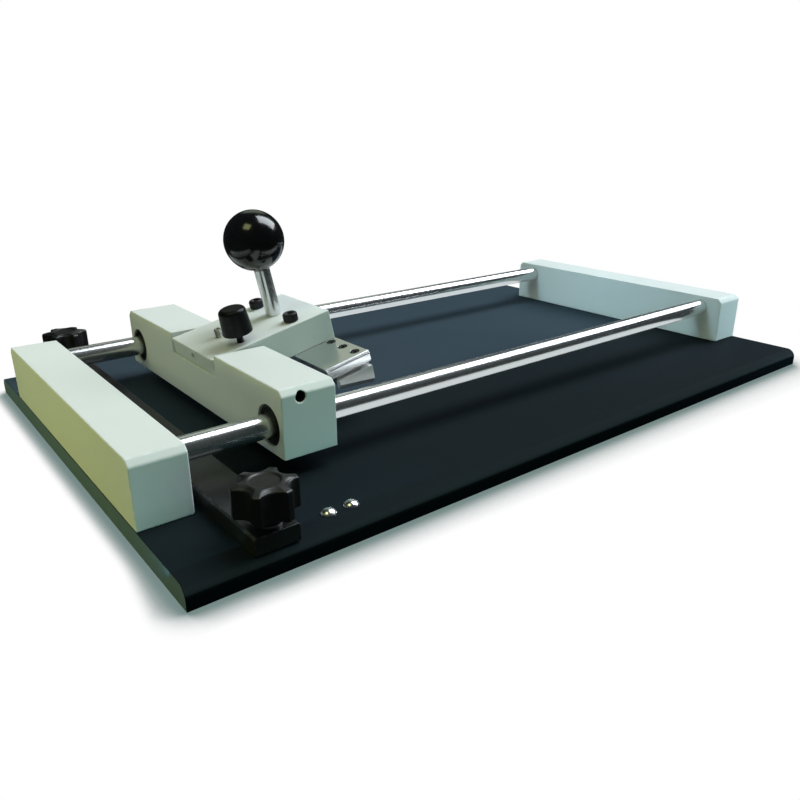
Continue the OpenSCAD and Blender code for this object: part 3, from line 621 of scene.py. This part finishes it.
softPieces = {
    "basePlate": {"node": "base_plate", "edge": 0.4 * mm, "rim": 0.3 * mm},
    "leftEndBlock": {"node": "left_end_block", "edge": 0.8 * mm, "rim": 0.3 * mm},
    "rightEndBlock": {"node": "right_end_block", "edge": 0.8 * mm, "rim": 0.3 * mm},
    "carriageBeam": {"node": "carriage_beam", "edge": 0.7 * mm, "rim": 0.35 * mm, "pin": "pivot_pin"},
    "leverArm": {"node": "lever_arm", "edge": 0.7 * mm, "rim": 0.3 * mm},
    "clampBar": {"node": "clamp_bar", "edge": 0.3 * mm, "rim": 0.25 * mm},
    "holderPlate": {"node": "holder_plate", "edge": 0.22 * mm, "rim": 0.15 * mm},
    "frontBladeBlock": {"node": "front_blade_block", "edge": 0.2 * mm, "rim": 0.12 * mm},
    "rearBladeBlock": {"node": "rear_blade_block", "edge": 0.2 * mm, "rim": 0.12 * mm},
    "frontBlade": {"node": "front_blade", "edge": 0.04 * mm, "rim": 0.04 * mm, "finish": satinSteel},
    "rearBlade": {"node": "rear_blade", "edge": 0.04 * mm, "rim": 0.04 * mm, "finish": satinSteel},
}
for name, soft in softPieces.items():
    softened(name, **soft)
print("softened pieces:", len(softPieces))


# rods and stem

rods = {"chamfer": 0.6 * mm, "steps": 96}


def makeRod(name, node):
    mesh = bmesh.new()
    for axis, r, low, high in turnedPlaces(node, alongX):
        c = rods["chamfer"]
        profile = [(0, low), (r - c, low), (r, low + c), (r, high - c), (r - c, high), (0, high)]
        spin(mesh, axis, profile, rods["steps"])
    finishPiece(name, mesh, node)


makeRod("frontRod", "front_rod")
makeRod("rearRod", "rear_rod")

stem = {"edge": 0.5 * mm, "spigot": 3 * mm, "chamfer": 0.4 * mm, "foot": 11 * mm, "neck": 15 * mm,
        "steps": 72}


def makeStem():
    mesh = bmesh.new()
    for axis, r, low, high in turnedPlaces("lever_stem", arm):
        foot, neck = low + stem["foot"], high - stem["neck"]
        edge, spigot, c = stem["edge"], stem["spigot"], stem["chamfer"]
        corners = [(0, low, 0), (spigot - c, low, 0), (spigot, low + c, 0), (spigot, foot, 0),
                   (r, foot, edge), (r, neck, edge), (spigot, neck, 0), (spigot, high - c, 0),
                   (spigot - c, high, 0), (0, high, 0)]
        spin(mesh, axis, rounded(corners), stem["steps"])
    finishPiece("leverStem", mesh, "lever_stem")


makeStem()

ball = {"bore": 3.02 * mm, "boreDepth": 15 * mm, "lip": 0.4 * mm, "rings": 44, "steps": 96}


def makeBall():
    mesh = bmesh.new()
    axis, r, low, high = turnedPlaces("ball_knob", arm)[0]
    centre = high - r
    flatAngle = math.acos((centre - low) / r)
    profile = [(0, low + ball["boreDepth"]), (ball["bore"], low + ball["boreDepth"]), (ball["bore"], low),
               (r * math.sin(flatAngle) - ball["lip"], low)]
    for i in range(ball["rings"]):
        angle = flatAngle + (math.pi - flatAngle) * i / ball["rings"]
        profile.append((r * math.sin(angle), centre - r * math.cos(angle)))
    profile.append((0, high))
    spin(mesh, axis, profile, ball["steps"])
    finishPiece("ballKnob", mesh, "ball_knob")


makeBall()
print("rods, stem and ball done")


# bearings and their seals in the carriage

bearing = {"chamfer": 0.5 * mm, "seatDepth": 2 * mm, "seat": 8.82 * mm, "lead": 0.15 * mm,
           "bore": 6.04 * mm, "steps": 96}


def makeBearing(name, node):
    mesh = bmesh.new()
    for axis, r, low, high in turnedPlaces(node, alongX):
        c, deep, seat, lead, bore = (bearing[k] for k in ("chamfer", "seatDepth", "seat", "lead", "bore"))
        profile = [(r - c, low), (r, low + c), (r, high - c), (r - c, high), (seat + lead, high),
                   (seat, high - lead), (seat, high - deep), (bore, high - deep), (bore, low + deep),
                   (seat, low + deep), (seat, low + lead), (seat + lead, low)]
        spin(mesh, axis, profile, bearing["steps"], closed=True)
    finishPiece(name, mesh, node)


makeBearing("frontBearing", "front_bearing")
makeBearing("rearBearing", "rear_bearing")

seal = {
    "bore": 6.04 * mm,
    "inner": ((0, 0.8 * mm), (0.25 * mm, 0.3 * mm), (0.8 * mm, 0.05 * mm), (1.3 * mm, 0.35 * mm)),
    "outer": ((0.7 * mm, 0.35 * mm), (0.35 * mm, 0), (0, 0.2 * mm)),
    "steps": 72,
}


def makeSeals():                 # inner is out from the bore and down, outer is in from the rim and down
    mesh = bmesh.new()
    for axis, r, low, high in turnedPlaces("bearing_seals", alongX):
        half = [(seal["bore"] + out, high - down) for out, down in seal["inner"]]
        half += [(r - inwards, high - down) for inwards, down in seal["outer"]]
        mirrored = [(radius, low + high - height) for radius, height in reversed(half)]
        spin(mesh, axis, half + mirrored, seal["steps"], closed=True)
    finishPiece("bearingSeals", mesh, "bearing_seals")


makeSeals()


# feet, stop studs and washers

foot = {"edge": 0.5 * mm, "backEdge": 0.2 * mm, "recess": 2.2 * mm, "recessDepth": 0.4 * mm,
        "grooves": (4.7 * mm, 6.5 * mm), "grooveHalf": 0.3 * mm, "grooveDepth": 0.25 * mm, "steps": 64}


def makeFeet():
    mesh = bmesh.new()
    for axis, r, low, high in turnedPlaces("rubber_feet", upright):
        recess, deep = foot["recess"], foot["recessDepth"]
        half, cut = foot["grooveHalf"], low + foot["grooveDepth"]
        corners = [(0, low + deep, 0), (recess, low + deep, 0), (recess + deep, low, 0)]
        for middle in foot["grooves"]:
            corners += [(middle - half, low, 0), (middle, cut, 0), (middle + half, low, 0)]
        corners += [(r, low, foot["edge"]), (r, high, foot["backEdge"]), (0, high, 0)]
        spin(mesh, axis, rounded(corners), foot["steps"])
    finishPiece("rubberFeet", mesh, "rubber_feet")


makeFeet()

stopStud = {"shank": 2 * mm, "lead": 0.3 * mm, "rise": 2.4 * mm, "lip": 0.15 * mm, "rings": 14, "steps": 64}


def makeStopStuds():
    mesh = bmesh.new()
    for axis, r, low, high in turnedPlaces("stop_studs", upright):
        rise, shank, lead = stopStud["rise"], stopStud["shank"], stopStud["lead"]
        seat = high - rise
        sphere = (r * r + rise * rise) / (2 * rise)
        widest = math.asin(r / sphere) if rise <= r else math.pi - math.asin(r / sphere)
        profile = [(0, low), (shank - lead, low), (shank, low + lead), (shank, seat),
                   (r - stopStud["lip"], seat)]
        for i in range(stopStud["rings"] + 1):
            angle = widest * (1 - i / stopStud["rings"])
            profile.append((sphere * math.sin(angle), high - sphere * (1 - math.cos(angle))))
        spin(mesh, axis, profile, stopStud["steps"])
    finishPiece("stopStuds", mesh, "stop_studs")


makeStopStuds()

washer = {"bore": 3.3 * mm, "edge": 0.25 * mm, "low": 0.075 * mm, "top": 0.1 * mm, "wide": 0.35 * mm,
          "steps": 72}


def makeWashers():               # punched, so the top edge is rounder than the lower one
    mesh = bmesh.new()
    for axis, r, low, high in turnedPlaces("clamp_washers", upright):
        bore, e, soft, top, wide = (washer[k] for k in ("bore", "edge", "low", "top", "wide"))
        profile = [(bore, low + e), (bore + e, low), (r - e, low), (r - soft, low + soft), (r, low + e),
                   (r, high - wide), (r - top, high - top), (r - wide, high), (bore + e, high),
                   (bore, high - e)]
        spin(mesh, axis, profile, washer["steps"], closed=True)
    finishPiece("clampWashers", mesh, "clamp_washers")


makeWashers()
print("bearings, feet, studs and washers done")


# star knobs on the clamp

starKnob = {
    "radius": 14 * mm, "lobes": 6, "turn": 47, "hollowDepth": 3.7 * mm, "hollowRadius": 6.5 * mm,
    "blend": 2.0 * mm,
    "hub": 7 * mm, "hubHeight": 3.5 * mm, "hubEdge": 0.4 * mm, "neck": 0.5 * mm, "rimHeight": 13.6 * mm,
    "bore": 4.56 * mm, "boreDepth": 13 * mm, "lowEdge": 0.8 * mm, "edge": 1.3 * mm, "flat": 7.2 * mm,
    "dish": ((0.4 * mm, 0.1 * mm), (0.8 * mm, 0.49 * mm), (1.3 * mm, 0.7 * mm)),     # in and down
    "dishMiddle": 0.4, "lowRings": 4, "wallRings": 4, "topRings": 7, "crownRings": 6, "steps": 180,
}


def starRadius(k, inset):        # radius of the star's outline at an angle, drawn in by inset
    centre = k["radius"] - k["hollowDepth"] + k["hollowRadius"]
    part = 2 * math.pi / k["lobes"]

    def at(angle):
        off = (angle - math.radians(k["turn"])) % part - part / 2
        inside = k["hollowRadius"] ** 2 - (centre * math.sin(off)) ** 2
        if inside <= 0:
            return k["radius"] - inset
        hollow = centre * math.cos(off) - math.sqrt(inside)
        near = max(k["blend"] - abs(hollow - k["radius"]), 0) / k["blend"]
        return min(hollow, k["radius"]) - near * near * k["blend"] / 4 - inset

    return at


def makeStarKnob(name, node):
    k = starKnob
    low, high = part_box(node)
    axis = Matrix.Translation(((low.x + high.x) / 2, (low.y + high.y) / 2, 0))
    bottom, top = low.z, high.z
    head = bottom + k["hubHeight"]
    rim = head + k["rimHeight"]
    bore, hub, lowEdge, edge, flat = (k[part] for part in ("bore", "hub", "lowEdge", "edge", "flat"))
    profile = [(0, bottom + k["boreDepth"]), (bore, bottom + k["boreDepth"]), (bore, bottom),
               (hub - k["hubEdge"], bottom), (hub, bottom + k["hubEdge"]), (hub, head - k["neck"]),
               (hub + k["neck"], head)]
    for i in range(k["lowRings"] + 1):           # lower edge of the head
        a = math.pi / 2 * i / k["lowRings"]
        profile.append((starRadius(k, lowEdge * (1 - math.sin(a))), head + lowEdge * (1 - math.cos(a))))
    wall = rim - edge - head - lowEdge
    for i in range(1, k["wallRings"]):
        profile.append((starRadius(k, 0), head + lowEdge + wall * i / k["wallRings"]))
    for i in range(k["topRings"] + 1):           # upper edge
        a = math.pi / 2 * i / k["topRings"]
        profile.append((starRadius(k, edge * (1 - math.cos(a))), rim - edge + edge * math.sin(a)))
    star = starRadius(k, edge)
    for i in range(1, k["crownRings"] + 1):      # gently crowned top, from the star to a round rim
        t = i / k["crownRings"]

        def crown(angle, t=t):
            return star(angle) * (1 - t) + flat * t

        profile.append((crown, rim + (top - rim) * math.sin(t * math.pi / 2)))
    profile += [(flat - inwards, top - down) for inwards, down in k["dish"]]
    dishFloor = top - k["dish"][-1][1]
    profile += [(flat * k["dishMiddle"], dishFloor), (0, dishFloor)]
    mesh = bmesh.new()
    spin(mesh, axis, profile, k["steps"])
    finishPiece(name, mesh, node, finish=starPlastic)


makeStarKnob("frontClampKnob", "front_clamp_knob")
makeStarKnob("rearClampKnob", "rear_clamp_knob")
print("star knobs done")


# depth cap and threaded screws on the arm

cap = {"top": 7.6 * mm, "edge": 2.5 * mm, "arc": 2.4975 * mm,      # a hair less, so that no two rings meet
       "footEdge": 0.5 * mm, "bore": 2.02 * mm, "boreDepth": 8.7 * mm, "hub": 4.2 * mm, "wall": 1.2 * mm,
       "slope": 0.3 * mm, "hollow": 0.5 * mm, "arcSteps": 8, "steps": 96}


def makeCap():
    mesh = bmesh.new()
    for axis, r, low, high in turnedPlaces("depth_cap", arm):
        bore, hub, slope, top = (cap[k] for k in ("bore", "hub", "slope", "top"))
        boreEnd, hollow, inside = low + cap["boreDepth"], low + cap["hollow"], r - cap["wall"]
        corners = [(0, boreEnd, 0), (bore, boreEnd, 0), (bore, low, 0), (hub, low, 0),
                   (hub + slope, hollow, 0), (inside - slope, hollow, 0), (inside, low, 0),
                   (r, low, cap["footEdge"]), (top, high - cap["edge"], 0), (top, high, cap["arc"]),
                   (0, high, 0)]
        spin(mesh, axis, rounded(corners, cap["arcSteps"]), cap["steps"])
    finishPiece("depthCap", mesh, "depth_cap")


makeCap()

depthScrew = {"pitch": 0.7 * mm, "depth": 0.38 * mm, "point": 0.6 * mm, "steps": 40}


def makeDepthScrew():
    mesh = bmesh.new()
    for axis, r, low, high in turnedPlaces("depth_screw", arm):
        point = depthScrew["point"]
        rings = thread(r, depthScrew["pitch"], low + point, high - point, depthScrew["depth"])
        profile = [(0, low), (r - point, low), *rings, (r - point, high), (0, high)]
        spin(mesh, axis, profile, depthScrew["steps"])
    finishPiece("depthScrew", mesh, "depth_screw")


makeDepthScrew()

setScrews = {
    "springScrew": {"pitch": 0.7 * mm, "depth": 0.36 * mm, "threadFrom": 0.5 * mm, "threadTo": 0.4 * mm,
                    "point": 0.8 * mm, "rim": 0.5 * mm, "socket": 2 * mm, "socketDepth": 2 * mm,
                    "lead": 0.15 * mm, "steps": 48},
    "armGrubScrew": {"pitch": 0.5 * mm, "depth": 0.26 * mm, "threadFrom": 0.4 * mm, "threadTo": 0.3 * mm,
                     "point": 0.6 * mm, "rim": 0.35 * mm, "socket": 1.5 * mm, "lead": 0.12 * mm,
                     "steps": 48},
}


def makeSetScrew(name, node, place):
    k = setScrews[name]
    mesh = bmesh.new()
    for axis, r, low, high in turnedPlaces(node, place):
        rings = thread(r, k["pitch"], low + k["threadFrom"], high - k["threadTo"], k["depth"])
        profile = [(0, low), (r - k["point"], low), *rings, (r - k["rim"], high)]
        deep = k.get("socketDepth", (high - low) / 2)        # half the screw where no depth is given
        profile += socketRings(k["socket"], high, deep, k["lead"])
        spin(mesh, axis, profile, k["steps"])
    finishPiece(name, mesh, node)


makeSetScrew("springScrew", "spring_screw", arm)
makeSetScrew("armGrubScrew", "arm_grub_screw", arm @ alongX @ flipped)


# socket head screws, in shares of their thread's diameter

capScrew = {"headRatio": 1.7, "socketRatio": 0.8, "socketDepth": 0.5, "knurls": 36, "knurlDepth": 0.045,
            "stepsPerKnurl": 4, "point": 0.1, "knurlEnd": 0.16, "shoulder": 0.11, "crown": 0.05,
            "crownDrop": 0.03, "flat": 0.11, "lead": 0.03}


def addCapScrew(mesh, axis, headRadius, low, high):
    # shank from low, head up to high with a knurled side and a hex socket
    c = capScrew
    d = 2 * headRadius / c["headRatio"]
    shank, seat, cut, point = d / 2, high - d, d * c["knurlDepth"], d * c["point"]
    inner = headRadius - cut

    def knurled(angle):
        return headRadius - cut * abs(math.cos(c["knurls"] * angle / 2))

    profile = [(0, low), (shank - point, low), (shank, low + point), (shank, seat), (inner - cut, seat),
               (inner, seat + cut), (knurled, seat + 2 * cut), (knurled, high - d * c["knurlEnd"]),
               (inner, high - d * c["shoulder"]), (inner - d * c["crown"], high - d * c["crownDrop"]),
               (inner - d * c["flat"], high)]
    profile += socketRings(d * c["socketRatio"], high, d * c["socketDepth"], d * c["lead"])
    spin(mesh, axis, profile, c["knurls"] * c["stepsPerKnurl"])


def makeCapScrews(name, node, place):
    mesh = bmesh.new()
    for axis, r, low, high in turnedPlaces(node, place):
        addCapScrew(mesh, axis, r, low, high)
    finishPiece(name, mesh, node)


def makeBladeScrews():           # the front ones point forwards and the rear ones backwards
    mesh = bmesh.new()
    for place in (arm @ alongY, arm @ alongY @ flipped):
        for axis, r, low, high in turnedPlaces("blade_screws", place):
            if low + high < 0:
                addCapScrew(mesh, axis, r, low, high)
    finishPiece("bladeScrews", mesh, "blade_screws")


makeCapScrews("armScrews", "arm_screws", arm)
makeCapScrews("holderScrews", "holder_screws", arm)
makeCapScrews("endBlockScrews", "end_block_screws", flipped)
makeBladeScrews()
print("screws done")


# springs, wound with closed end turns

coils = {"sides": 14, "stepsPerTurn": 36, "closedTurns": 1.0, "closedPitch": 1.02}       # in wires


def addCoil(mesh, axis, outer, low, high, wire, turns):
    c = coils
    middle, closed, closedRise = outer - wire / 2, c["closedTurns"], wire * c["closedPitch"]
    start, end = low + wire / 2, high - wire / 2
    pitch = (end - start - 2 * closed * closedRise) / (turns - 2 * closed)
    count = round(turns * c["stepsPerTurn"])
    around = [2 * math.pi * k / c["sides"] for k in range(c["sides"])]
    up = Vector((0, 0, 1))
    rings = []
    for i in range(count + 1):
        t = turns * i / count
        head, tail = min(t, closed), max(0, t - (turns - closed))
        height = start + (head + tail) * closedRise + (t - head - tail) * pitch
        out = Vector((math.cos(2 * math.pi * t), math.sin(2 * math.pi * t), 0))
        centre = out * middle + up * height
        spokes = [(out * math.cos(a) + up * math.sin(a)) * wire / 2 for a in around]
        rings.append([mesh.verts.new(axis @ (centre + spoke)) for spoke in spokes])
    for one, two in zip(rings, rings[1:]):
        for k in range(c["sides"]):
            n = (k + 1) % c["sides"]
            mesh.faces.new((one[k], one[n], two[n], two[k]))
    mesh.faces.new(rings[0])
    mesh.faces.new(rings[-1])


armSpring = {"wire": 0.9 * mm, "turns": 7.5, "pressedTo": 0.83}
liftSpring = {"wire": 0.8 * mm, "turns": 3.5}


def makeArmSpring():
    mesh = bmesh.new()
    axis, outer, low, high = turnedPlaces("arm_spring", upright)[0]
    addCoil(mesh, axis, outer, low, high, armSpring["wire"], armSpring["turns"])
    piece = finishPiece("armSpring", mesh, "arm_spring", weighted=False)
    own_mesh(piece)


def makeLiftSprings():
    mesh = bmesh.new()
    for axis, outer, low, high in turnedPlaces("clamp_springs", upright):
        addCoil(mesh, axis, outer, low, high, liftSpring["wire"], liftSpring["turns"])
    finishPiece("clampSprings", mesh, "clamp_springs", weighted=False)


makeArmSpring()
makeLiftSprings()
print("springs done")


# what stays as it is in the frame, mostly hidden in its holes

for node, slotName in slotOf.items():
    shape = nodes[node]
    if not shape.hide_render:
        shape.data.materials.clear()
        shape.data.materials.append(finishes[slotName])
        print("kept from the frame:", node)


# studio

studio = {
    "floorSize": 8.0,
    "floorShade": 0.18,              # what the floor sends on to the object
    "shadowReach": 0.010,
    "frontReach": 0.0126,            # more at the front, growing to the right
    "reachGrows": 0.030,
    "frontFrom": 0.10,
    "frontTo": 0.155,
    "shadowFrom": 0.5,               # darkest where no more of the sky is open
    "shadowRange": 0.47,
    "shadowPower": 3,
    "shadowRays": 16,
    "shadowTint": (0.18, 0.25, 0.24),
    "white": (1.0, 1.0, 1.0),
    "ambientLow": (0.026, 0.030, 0.030),
    "ambientHigh": (0.06, 0.065, 0.065),
    "ambientFrom": -0.2,
    "ambientTo": 0.8,
    "room": (0.020, 0.022, 0.025),   # what a gloss sees around it
    "sweep": (0.46, 0.52, 0.42),     # a pale card behind, which a gloss sees too
    "sweepTo": (0.41, 0.71, 0.57),
    "sweepEdge": (0.945, 0.985),
}
lamps = {
    "keyBox": {"at": (2.44, -0.20, 3.21), "to": (0, 0, 0.03), "size": (2.40, 3.50), "watts": 200.0,
               "tint": (0.87, 0.94, 0.98), "gloss": True},
    "leftLamp": {"at": (-0.42, -0.14, 0.62), "to": (-0.12, 0, 0.08), "size": (0.24, 0.21), "watts": 0.48,
                 "tint": (0.92, 1.0, 0.45), "gloss": True},
    "topFill": {"at": (0.0, 0.1, 1.2), "to": (0, 0, 0), "size": (1.0, 1.0), "watts": 2.2,
                "tint": (1, 1, 1)},
    "leftFill": {"at": (-0.42, -0.03, 0.018), "to": (-0.238, -0.03, 0.026), "size": (0.30, 0.02),
                 "watts": 0.110, "tint": (0.95, 1, 0.22)},
    "rearLeftFill": {"at": (-0.48, 0.16, 0.16), "to": (-0.238, 0.10, 0.035), "size": (0.08, 0.08),
                     "watts": 0.20, "tint": (0.92, 1, 0.50)},
    "frontFill": {"at": (-0.02, -0.66, 0.06), "to": (-0.05, -0.1, 0.03), "size": (0.4, 0.2), "watts": 0.30,
                  "tint": (0.05, 1, 0.40)},
    "frontLow": {"at": (-0.185, -0.140, 0.0145), "to": (-0.185, -0.105, 0.035), "size": (0.16, 0.014),
                 "watts": 0.008, "tint": (0.46, 0.84, 1)},
    "rightFill": {"at": (0.32, -0.26, 0.022), "to": (0.225, -0.10, 0.035), "size": (0.12, 0.02),
                  "watts": 0.185, "tint": (0.65, 0.86, 1)},
    "blockFill": {"at": (-0.36, 0.05, 0.25), "to": (0.23, 0.0, 0.03), "size": (0.22, 0.10), "watts": 0.054,
                  "tint": (0.56, 0.83, 1), "spread": 24},
    "backFill": {"at": (0.3, 0.9, 0.45), "to": (0, 0, 0.03), "size": (0.8, 0.8), "watts": 1.4,
                 "tint": (0.95, 1, 1)},
    # pale cards on the plate, which show only in a gloss such as the rods'
    "frontCard": {"at": (0.045, -0.116, 0.0125), "to": (0.045, -0.096, 1), "size": (0.335, 0.068),
                  "watts": 0.061, "tint": (0.95, 1, 1), "gloss": True, "diffuse": False},
    "rearCard": {"at": (0.050, 0.077, 0.0125), "to": (0.050, 0.097, 1), "size": (0.320, 0.066),
                 "watts": 0.056, "tint": (0.95, 1, 1), "gloss": True, "diffuse": False},
}


def makeLamp(name, look):
    data = bpy.data.lights.new(name, "AREA")
    data.shape = "RECTANGLE"
    data.size, data.size_y = look["size"]
    data.energy = look["watts"]
    data.color = look["tint"]
    data.spread = math.radians(look.get("spread", 180))
    lamp = bpy.data.objects.new(name, data)
    lamp.location = look["at"]
    lamp.visible_camera = False
    lamp.visible_glossy = look.get("gloss", False)
    lamp.visible_diffuse = look.get("diffuse", True)
    lamp.rotation_mode = "QUATERNION"
    lamp.rotation_quaternion = (Vector(look["to"]) - Vector(look["at"])).to_track_quat("-Z", "Y")
    bpy.context.scene.collection.objects.link(lamp)


def seen(s):                     # what the camera sees straight, and what it sees in a gloss
    straight = s.node("ShaderNodeLightPath", out="Is Camera Ray")
    gloss = s.node("ShaderNodeLightPath", out="Is Glossy Ray")
    through = s.node("ShaderNodeLightPath", out="Is Transmission Ray")
    return straight, s.node("ShaderNodeMath", {"operation": "MAXIMUM"}, {0: gloss, 1: through})


def makeFloor():
    mesh = bmesh.new()
    bmesh.ops.create_grid(mesh, x_segments=1, y_segments=1, size=studio["floorSize"] / 2)
    data = bpy.data.meshes.new("floor")
    mesh.to_mesh(data)
    mesh.free()
    s = newShader("paleFloor")
    along, across = (s.node("ShaderNodeSeparateXYZ", sockets={0: s.where()}, out=axis) for axis in "XY")
    front = s.step(0 - across, studio["frontFrom"], studio["frontTo"])
    reach = studio["shadowReach"] + front * (studio["frontReach"] + along * studio["reachGrows"])
    rays = {"samples": studio["shadowRays"]}
    sky = s.node("ShaderNodeAmbientOcclusion", rays, {"Distance": reach}, out="AO")
    lit = (sky - studio["shadowFrom"]) / studio["shadowRange"]
    clear = s.node("ShaderNodeClamp", sockets={"Value": lit}) ** studio["shadowPower"]
    shaded = s.blend(clear, studio["shadowTint"], studio["white"])
    straight, gloss = seen(s)
    shining = s.node("ShaderNodeEmission", sockets={"Color": s.blend(gloss, shaded, studio["room"])})
    grey = studio["floorShade"]
    matt = s.node("ShaderNodeBsdfDiffuse", sockets={"Color": (grey, grey, grey, 1)})
    shown = s.node("ShaderNodeMixShader", sockets={0: straight + gloss, 1: matt, 2: shining})
    s.node("ShaderNodeOutputMaterial", sockets={"Surface": shown})
    data.materials.append(s.owner)
    floor = bpy.data.objects.new("floor", data)
    bpy.context.scene.collection.objects.link(floor)


def makeWorld():
    world = bpy.data.worlds.new("studio")
    bpy.context.scene.world = world
    s = Shader(world)
    ahead = s.node("ShaderNodeTexCoord", out="Generated")
    along, back, rise = (s.node("ShaderNodeSeparateXYZ", sockets={0: ahead}, out=axis) for axis in "XYZ")
    toX, toY, toZ = studio["sweepTo"]
    sweep = s.step(toX * along + toY * back + toZ * rise, *studio["sweepEdge"])
    straight, gloss = seen(s)
    backdrop = s.blend(sweep, studio["room"], studio["sweep"])
    above = s.step(rise, studio["ambientFrom"], studio["ambientTo"])
    ambient = s.blend(above, studio["ambientLow"], studio["ambientHigh"])
    colour = s.blend(gloss, ambient, backdrop)
    colour = s.blend(straight, colour, studio["white"])
    glow = s.node("ShaderNodeBackground", sockets={"Color": colour, "Strength": 1.0})
    s.node("ShaderNodeOutputWorld", sockets={"Surface": glow})


for name, look in lamps.items():
    makeLamp(name, look)
makeFloor()
makeWorld()
bpy.context.scene.view_settings.view_transform = "Standard"
print("studio done")
